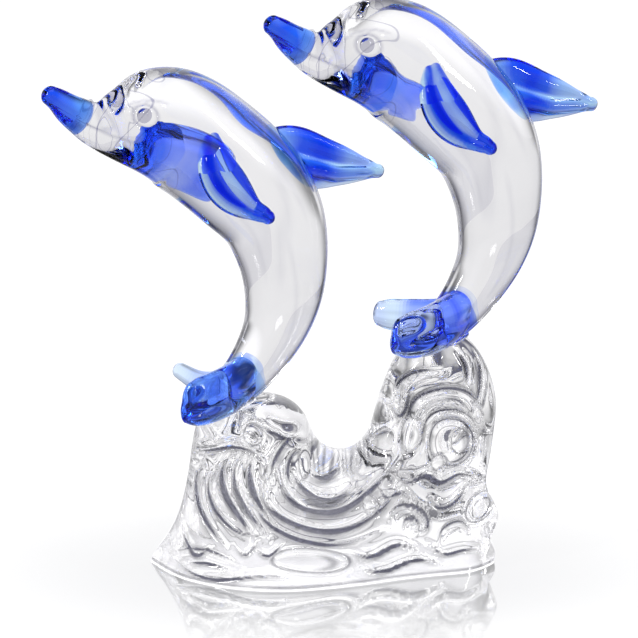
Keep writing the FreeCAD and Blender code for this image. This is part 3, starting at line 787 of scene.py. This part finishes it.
def make_object(name, shape, material, body, nodes, slot):
    mesh = bpy.data.meshes.new(name)
    mesh.from_pydata([tuple(p * MM) for p in shape.points], [],
                     [tuple(int(i) for i in face) for face in shape.faces])
    mesh.validate()
    mesh.shade_smooth()
    mesh.set_sharp_from_angle(angle=SHARP_FROM)
    for attribute, values in (("seam_depth", shape.depth), ("stain_and_shade_amount", shape.deep),
                              ("calm", shape.calm), ("relief_level", shape.level)):
        layer = mesh.attributes.new(attribute, "FLOAT", "POINT")
        layer.data.foreach_set("value", values.astype(np.float32))
    seam = mesh.attributes.new("seam_face", "FLOAT", "FACE")
    seam.data.foreach_set("value", np.array(
        [1.0 if i in shape.seam_faces else 0.0 for i in range(len(mesh.polygons))], np.float32))
    obj = bpy.data.objects.new(name, mesh)
    bpy.context.collection.objects.link(obj)
    mesh.materials.append(material)
    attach(obj, body)
    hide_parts(*nodes)
    return obj


# ---------------- materials
class Graph:
    """Short ways of adding nodes to one node tree."""

    def __init__(self, tree):
        self.nodes, self.links = tree.nodes, tree.links

    def new(self, kind, **values):
        """A new node with some of its inputs set; an underscore stands for a space."""
        node = self.nodes.new("ShaderNode" + kind)
        for name, value in values.items():
            node.inputs[name.replace("_", " ")].default_value = value
        return node

    def fed(self, kind, *sources, **values):
        """The first output of a new node whose first inputs are linked to the sources."""
        node = self.new(kind, **values)
        for source, socket in zip(sources, node.inputs):
            self.links.new(source, socket)
        return node.outputs[0] if node.outputs else node

    def attribute(self, name):
        node = self.new("Attribute")
        node.attribute_name = name
        return node.outputs["Fac"]

    def ranged(self, source, low, high, to_low, to_high, smooth=True):
        node = self.new("MapRange", From_Min=low, From_Max=high, To_Min=to_low, To_Max=to_high)
        node.interpolation_type = "SMOOTHSTEP" if smooth else "LINEAR"
        self.links.new(source, node.inputs["Value"])
        return node.outputs["Result"]

    def maths(self, operation, first, second=0.0):
        node = self.new("Math")
        node.operation = operation
        for socket, value in zip(node.inputs, (first, second)):
            if isinstance(value, (int, float)):
                socket.default_value = value
            else:
                self.links.new(value, socket)
        return node.outputs[0]

    def plus(self, first, second):
        return self.maths("ADD", first, second)

    def times(self, first, second):
        return self.maths("MULTIPLY", first, second)

    def either(self, choice, no, yes):
        """The value of yes where the choice is 1, and of no where it is 0."""
        return self.plus(self.times(choice, yes), self.times(self.maths("SUBTRACT", 1.0, choice), no))

    def split(self, source):
        node = self.new("SeparateXYZ")
        self.links.new(source, node.inputs[0])
        return node.outputs

    def toned(self, amount, low, high):
        """Mix of two colours; the first may come from another node."""
        node = self.new("Mix")
        node.data_type = "RGBA"
        if isinstance(low, tuple):
            node.inputs["A"].default_value = (*low, 1)
        else:
            self.links.new(low, node.inputs["A"])
        node.inputs["B"].default_value = (*high, 1)
        self.links.new(amount, node.inputs["Factor"])
        return node.outputs["Result"]


def new_material(name):
    material = bpy.data.materials.new(name)
    material.use_nodes = True
    material.node_tree.nodes.clear()
    return material, Graph(material.node_tree)


def glass(name, colour, rim_shade_colour, ior, ripple, scale, absorb=None, edge_power=3.0, stain_and_shade=None,
          patchy=0.22, fine=0.0):
    """Clear or blue glass: painted rim shade, blue stain in the blue glass and painted shade in the
    clear glass, painted hair lines of shade, polish, ripple and fused seams.
    """
    material, graph = new_material(name)
    links = graph.links
    output = graph.new("OutputMaterial")
    shader = graph.new("BsdfPrincipled", Transmission_Weight=1.0, IOR=ior)
    links.new(shader.outputs[0], output.inputs["Surface"])
    place = graph.new("TexCoord").outputs["Object"]
    cloud = graph.fed("TexNoise", place, Scale=45.0, Detail=2.0)
    if stain_and_shade:
        # colour laid on unevenly: the blue glass's own stain, pale at the thin ends and deep where the
        # gather is thick; in the clear and wave glass the same amount is painted shade
        streak = graph.fed("TexNoise", place, Scale=110.0, Detail=1.0)
        spread = graph.ranged(streak, 0.3, 0.7, -patchy, patchy, smooth=False)
        shade = graph.plus(graph.attribute("stain_and_shade_amount"), spread)
        shade.node.use_clamp = True
        if fine:
            # painted shade: hair-thin dark lines that follow the relief like contours
            drift = graph.times(graph.maths("SUBTRACT", cloud, 0.5), 0.9)
            phase = graph.plus(graph.attribute("relief_level"), drift)
            phase = graph.times(phase, math.pi)
            line = graph.maths("ABSOLUTE", graph.maths("SINE", phase))
            hair = graph.ranged(line, 0.03, 0.16, fine, 0.0)
            shade = graph.maths("MINIMUM", graph.plus(shade, hair), 1.0)
        tint = graph.toned(shade, colour, stain_and_shade)
    else:
        tint = graph.toned(cloud, colour, tuple(0.97 * c for c in colour))
    # painted shade: edges seen at a slant are tinted darker, drawing outlines on the glass
    facing = graph.new("LayerWeight", Blend=0.5)
    rim = graph.maths("POWER", facing.outputs["Facing"], edge_power)
    links.new(graph.toned(rim, tint, rim_shade_colour), shader.inputs["Base Color"])
    # polish: nearly mirror smooth, with faint cloudy patches
    links.new(graph.ranged(cloud, 0.35, 0.75, 0.0, 0.02, smooth=False), shader.inputs["Roughness"])
    # drawn-glass ripple
    bump = graph.new("Bump", Strength=ripple, Distance=0.0006)
    waves = graph.fed("TexNoise", place, Scale=scale, Detail=1.5)
    links.new(waves, bump.inputs["Height"])
    links.new(bump.outputs["Normal"], shader.inputs["Normal"])
    # fused joints: no change of index where one piece lies inside another, and less where calm
    inside = graph.maths("GREATER_THAN", graph.attribute("seam_depth"), 0.0)
    fused = graph.maths("MAXIMUM", inside, graph.attribute("seam_face"))
    weak = graph.maths("MAXIMUM", fused, graph.attribute("calm"))
    links.new(graph.ranged(weak, 0.0, 1.0, ior, 1.0, smooth=False), shader.inputs["IOR"])
    if absorb:
        colour, density = absorb
        volume = graph.fed("VolumeAbsorption", Color=(*colour, 1), Density=density)
        links.new(volume, output.inputs["Volume"])
    return material


# The clear and wave glass take painted shade as their stain: grey and near-black painted lines; the blue
# glass takes its own blue as its stain.
CLEAR = glass("clear_crystal", (0.98, 0.975, 0.99), (0.55, 0.55, 0.68), 1.48, 0.05, 60.0,
              stain_and_shade=(0.22, 0.22, 0.36), patchy=0.03, fine=0.70)
WAVE = glass("wave_crystal", (1.0, 0.995, 1.0), (0.50, 0.50, 0.56), 1.60, 0.10, 90.0,
             stain_and_shade=(0.02, 0.02, 0.035), patchy=0.06, edge_power=4.0, fine=0.85)
FIN = glass("fin_blue_crystal", (0.92, 0.97, 1.0), (0.60, 0.68, 1.0), 1.42, 0.06, 80.0,
            absorb=((0.24, 0.66, 0.99), 260.0), stain_and_shade=(0.01, 0.08, 0.90))
TAIL = glass("tail_blue_crystal", (0.94, 0.98, 1.0), (0.60, 0.68, 1.0), 1.38, 0.08, 80.0,
             absorb=((0.30, 0.66, 0.99), 95.0), stain_and_shade=(0.008, 0.10, 1.0))
PALE_TAIL = glass("pale_tail_crystal", (0.96, 0.98, 1.0), (0.62, 0.70, 1.0), 1.40, 0.08, 80.0,
                  absorb=((0.55, 0.78, 1.0), 30.0), stain_and_shade=(0.008, 0.10, 1.0))
BOND = glass("bond_clear", (0.97, 0.98, 1.0), (0.8, 0.82, 0.88), 1.50, 0.05, 120.0)


# ---------------- assembly
SIDES = ("left", "right")
SEAT_REACH = 16.0          # how far a seat is ground flat behind the tail, and 4 more in front
SEAT_LIFT = 0.1            # the seat plane, above the middle of the adhesive
FILM_RADIUS, FILM_THICK, FILM_DROP = 6.6, 0.8, 0.35
BLUES = ("dorsal_fin", "pectoral_near", "pectoral_far", "fluke_near", "fluke_far")
EYES = ("eye_near", "eye_far")
FUSED_TO = {"fluke_near": ("body", "fluke_far", "bond_film"),
            "fluke_far": ("body", "fluke_near", "bond_film")}


def look_of(side, name):
    """Material and slot of one piece of a dolphin."""
    if name in ("body", *EYES):
        return CLEAR, "clear_crystal"
    if name == "bond_film":
        return BOND, "clear_adhesive"
    if (side, name) == ("right", "fluke_near"):
        return PALE_TAIL, "blue_crystal"
    paler = name in ("fluke_near", "fluke_far", "pectoral_far")
    return TAIL if paler else FIN, "blue_crystal"


pieces = {}
for side in SIDES:
    origin = box_centre(f"{side}_beak_tip") - BEAK_BOX_FROM_ORIGIN
    pose = Matrix.Translation(origin) @ TURN
    pieces[side] = {name: shape.place(pose)
                    for name, shape in dolphin_shapes(full=side == "right").items()}

seats = []
for side in SIDES:
    film_low, film_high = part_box(f"{side}_bond_film")
    film = (film_low + film_high) / (2 * MM)
    seats.append((film.x, film.z + SEAT_LIFT, film.x - SEAT_REACH - 4, film.x + SEAT_REACH))
    foot = (film.x, film.y, film.z - FILM_DROP)
    pieces[side]["bond_film"] = film_shape(foot, FILM_RADIUS, FILM_THICK)
wave = wave_shape(seats)

# the tails are ground flat where they sit
for side, (px, pz, _, _) in zip(SIDES, seats):
    for name in ("body", "fluke_near", "fluke_far"):
        p = pieces[side][name].points
        p[:, 2] = np.maximum(p[:, 2], pz + SEAM_GAP + (p[:, 0] - px) * SEAT_SLOPE)

for part in pieces.values():
    mark_seams(part["body"], [part[name] for name in (*BLUES, *EYES, "bond_film")])
    for name in (*BLUES, *EYES):
        mark_seams(part[name], [part[other] for other in FUSED_TO.get(name, ("body",))])
    mark_seams(part["bond_film"], [part["body"], part["fluke_near"], part["fluke_far"], wave])
mark_seams(wave, [pieces[side]["bond_film"] for side in SIDES])

for side in SIDES:
    for name, shape in pieces[side].items():
        material, slot = look_of(side, name)
        make_object(f"{side}_{name}_glass", shape, material, "root", [f"{side}_{name}"], slot)
make_object("wave_base_glass", wave, WAVE, "root", ["wave_base"], "clear_crystal")

# ---------------- floor, light, camera
# The studio is white where the camera looks straight at it. Glass that bends the view picks up
# the dark room beside the white sweep, which draws its outlines.
GLASS_WHITE = 0.78         # how bright the white sweep is when seen through glass
SIDE_DARK = 0.05
FRONT_PALE = 0.55
FLOOR_HALF = 4.0
FLOOR_DROP = 0.0002        # keeps the floor just clear of the wave's underside


def sweep(graph, place, white_to, dark_from, strip_level=0.0, white=GLASS_WHITE):
    """White in the wedge behind the object, dark at the sides, paler again in front.

    The angles are in degrees from straight behind. A bright strip may stand in the dark part.
    """
    def between(low, high, to_low, to_high):
        return graph.ranged(sideways, math.radians(low), math.radians(high), to_low, to_high)

    sideways = graph.maths("ABSOLUTE", graph.maths("ARCTAN2", place["X"], place["Y"]))
    flank = between(white_to, dark_from, white, SIDE_DARK)
    strip = graph.times(between(50, 58, 0.0, strip_level), between(66, 74, 1.0, 0.0))
    front = between(105, 140, 0.0, FRONT_PALE - SIDE_DARK)
    return graph.plus(graph.plus(flank, strip), front)


floor_mesh = bpy.data.meshes.new("floor")
floor_mesh.from_pydata([(-FLOOR_HALF, -FLOOR_HALF, 0), (FLOOR_HALF, -FLOOR_HALF, 0),
                        (FLOOR_HALF, FLOOR_HALF, 0), (-FLOOR_HALF, FLOOR_HALF, 0)], [], [(0, 1, 2, 3)])
floor = bpy.data.objects.new("floor", floor_mesh)
floor.location.z = -FLOOR_DROP
bpy.context.collection.objects.link(floor)
floor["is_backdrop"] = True
floor_white, graph = new_material("floor_white")
links = graph.links
place = graph.new("TexCoord").outputs["Object"]
spot = graph.split(place)
from_middle = graph.maths("SQRT", graph.plus(graph.times(spot["X"], spot["X"]),
                                             graph.times(spot["Y"], spot["Y"])))
# what rays other than the camera's own see: bright under the wave, white behind, dark beside
near_sweep = sweep(graph, spot, 18, 48, 0.8, white=1.0)
far_sweep = sweep(graph, spot, 38, 68)
beyond = graph.ranged(from_middle, 0.20, 0.36, 0.0, 1.0)
under = graph.ranged(from_middle, 0.040, 0.100, 2.2, 0.0)
hidden = graph.maths("MAXIMUM", graph.either(beyond, near_sweep, far_sweep), under)
seen = graph.new("LightPath").outputs["Is Camera Ray"]
glow = graph.new("Emission")
links.new(graph.either(seen, hidden, 1.0), glow.inputs["Strength"])
matte = graph.fed("BsdfDiffuse", Color=(0.15, 0.15, 0.15, 1))
lit = graph.fed("AddShader", matte, glow.outputs[0])
# the polished table mirrors the foot of the wave and fades out round it
mirror = graph.fed("BsdfGlossy", Roughness=0.06, Color=(1, 1, 1, 1))
distance = graph.new("VectorMath")
distance.operation = "LENGTH"
links.new(graph.fed("Mapping", place, Scale=(0.62, 1.0, 1.0)), distance.inputs[0])
fade = graph.ranged(distance.outputs["Value"], 0.024, 0.090, 0.70, 0.0)
graph.fed("OutputMaterial", graph.fed("MixShader", fade, lit, mirror))
floor_mesh.materials.append(floor_white)

world = bpy.data.worlds.new("studio")
bpy.context.scene.world = world
world.use_nodes = True
world.node_tree.nodes.clear()
graph = Graph(world.node_tree)
links = graph.links
sky = graph.new("Background")
links.new(sky.outputs[0], graph.new("OutputWorld").inputs["Surface"])
ray = graph.split(graph.new("TexCoord").outputs["Generated"])
# walls as mirrored on the surface of the glass, and as seen bent through it
mirrored_wall = graph.times(graph.maths("MAXIMUM", 0.45, sweep(graph, ray, 18, 48, 0.7)),
                            graph.ranged(ray["Z"], 0.25, 0.55, 1.25, 0.25))
low_wall = graph.ranged(ray["Z"], 0.18, 0.50, 1.0, 0.40)
high_strip = graph.times(graph.ranged(ray["Z"], 0.50, 0.54, 0.0, 0.8),
                         graph.ranged(ray["Z"], 0.62, 0.68, 1.0, 0.0))
bent_wall = graph.times(sweep(graph, ray, 34, 64), graph.plus(low_wall, high_strip))
path = graph.new("LightPath")
wall = graph.either(path.outputs["Is Transmission Ray"], mirrored_wall, bent_wall)
ceiling = graph.ranged(ray["Z"], 0.80, 0.93, 0.0, 1.0)
room = graph.maths("MAXIMUM", graph.maths("MAXIMUM", wall, ceiling), path.outputs["Is Camera Ray"])
links.new(graph.toned(room, (0.78, 0.78, 0.92), (1, 1, 1)), sky.inputs["Color"])
links.new(room, sky.inputs["Strength"])


def softbox(name, position, size, energy, aim=(0, 0, 0.08)):
    data = bpy.data.lights.new(name, "AREA")
    data.shape = "RECTANGLE"
    data.size, data.size_y = size
    data.energy = energy
    lamp = bpy.data.objects.new(name, data)
    lamp.location = position
    lamp.rotation_euler = (Vector(aim) - Vector(position)).to_track_quat("-Z", "Y").to_euler()
    lamp.visible_camera = False
    bpy.context.collection.objects.link(lamp)


softbox("key_left", (-0.75, -0.45, 0.62), (0.10, 0.45), 4.5)
softbox("key_right", (0.85, -0.40, 0.45), (0.08, 0.50), 3.0)
softbox("spark", (0.12, -0.85, 0.85), (0.12, 0.12), 1.8)

ELEVATION = math.radians(14.0)
AIM = Vector((-0.0013, 0.0, 0.065))
DISTANCE = 0.80
VIEW_WIDTH = 0.163966      # how much the view takes in at that distance
SENSOR = 36.0
CLIP = 0.01, 20.0
camera_data = bpy.data.cameras.new("camera")
camera = bpy.data.objects.new("camera", camera_data)
bpy.context.collection.objects.link(camera)
bpy.context.scene.camera = camera
camera_data.sensor_width = SENSOR
camera_data.lens = SENSOR * DISTANCE / VIEW_WIDTH
camera_data.clip_start, camera_data.clip_end = CLIP
back = Vector((0.0, -math.cos(ELEVATION), math.sin(ELEVATION)))
camera.location = AIM + back * DISTANCE
camera.rotation_euler = (-back).to_track_quat("-Z", "Y").to_euler()

scene = bpy.context.scene
cycles = scene.cycles
cycles.max_bounces = 28
cycles.transmission_bounces = 24
cycles.glossy_bounces = 10
cycles.diffuse_bounces = 3
cycles.transparent_max_bounces = 12
cycles.sample_clamp_indirect = 6.0
cycles.use_denoising = True
scene.view_settings.view_transform = "Standard"
scene.view_settings.look = "None"

size_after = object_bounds()
str([[list(corner) for corner in pair] for pair in (size_before, size_after)])
